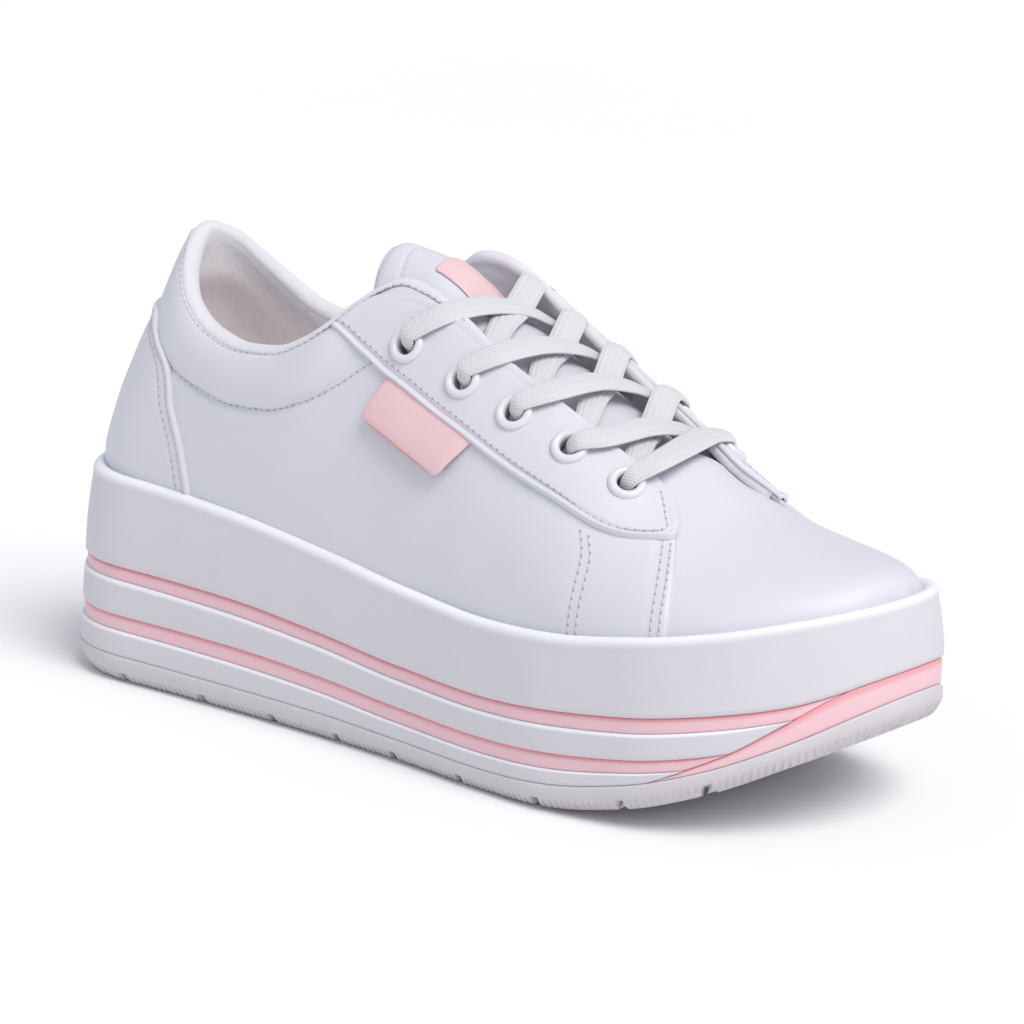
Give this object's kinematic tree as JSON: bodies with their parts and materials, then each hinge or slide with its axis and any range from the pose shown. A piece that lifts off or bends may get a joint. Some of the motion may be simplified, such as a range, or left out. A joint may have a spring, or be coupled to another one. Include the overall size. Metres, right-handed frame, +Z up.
{
  "type": "platform sneaker",
  "caption": "Low-cut platform sneaker for the right foot: white leather upper with padded collar, laced eyestays and a side tag, on a thick rockered sole of white and pink foam layers.",
  "frame": {"origin": "middle of the bounding box's foot, on the floor under the sole", "axes": "+X points to the toe, -Y to the outer side of the right foot, +Z up"},
  "size_m": [0.2714, 0.0998, 0.1312],
  "materials": {
    "leather": "smooth white leather with a soft sheen",
    "white_foam": "satin white foam",
    "pink_foam": "satin rose pink foam",
    "rubber": "satin off-white rubber",
    "lining": "soft white lining",
    "tag": "coral pink coated leather",
    "eyelet": "white lacquer",
    "lace": "flat woven white lace"
  },
  "bodies": {
    "root": {"outsole": "rubber", "toe_wedge": "pink_foam", "midsole_base": "white_foam", "stripe_lower": "pink_foam", "midsole_middle": "white_foam", "stripe_upper": "pink_foam", "midsole_cup": "white_foam", "insole": "lining", "upper": "leather", "eyestay_lateral": "leather", "eyestay_medial": "leather", "heel_counter": "leather", "tongue": "leather", "side_tag": "tag", "eyelet_lateral_1": "eyelet", "eyelet_lateral_2": "eyelet", "eyelet_lateral_3": "eyelet", "eyelet_lateral_4": "eyelet", "eyelet_lateral_5": "eyelet", "eyelet_medial_1": "eyelet", "eyelet_medial_2": "eyelet", "eyelet_medial_3": "eyelet", "eyelet_medial_4": "eyelet", "eyelet_medial_5": "eyelet", "lace_cross_1": "lace", "lace_cross_2": "lace", "lace_cross_3": "lace", "lace_cross_4": "lace", "lace_bar": "lace"}
  },
  "joints": []
}
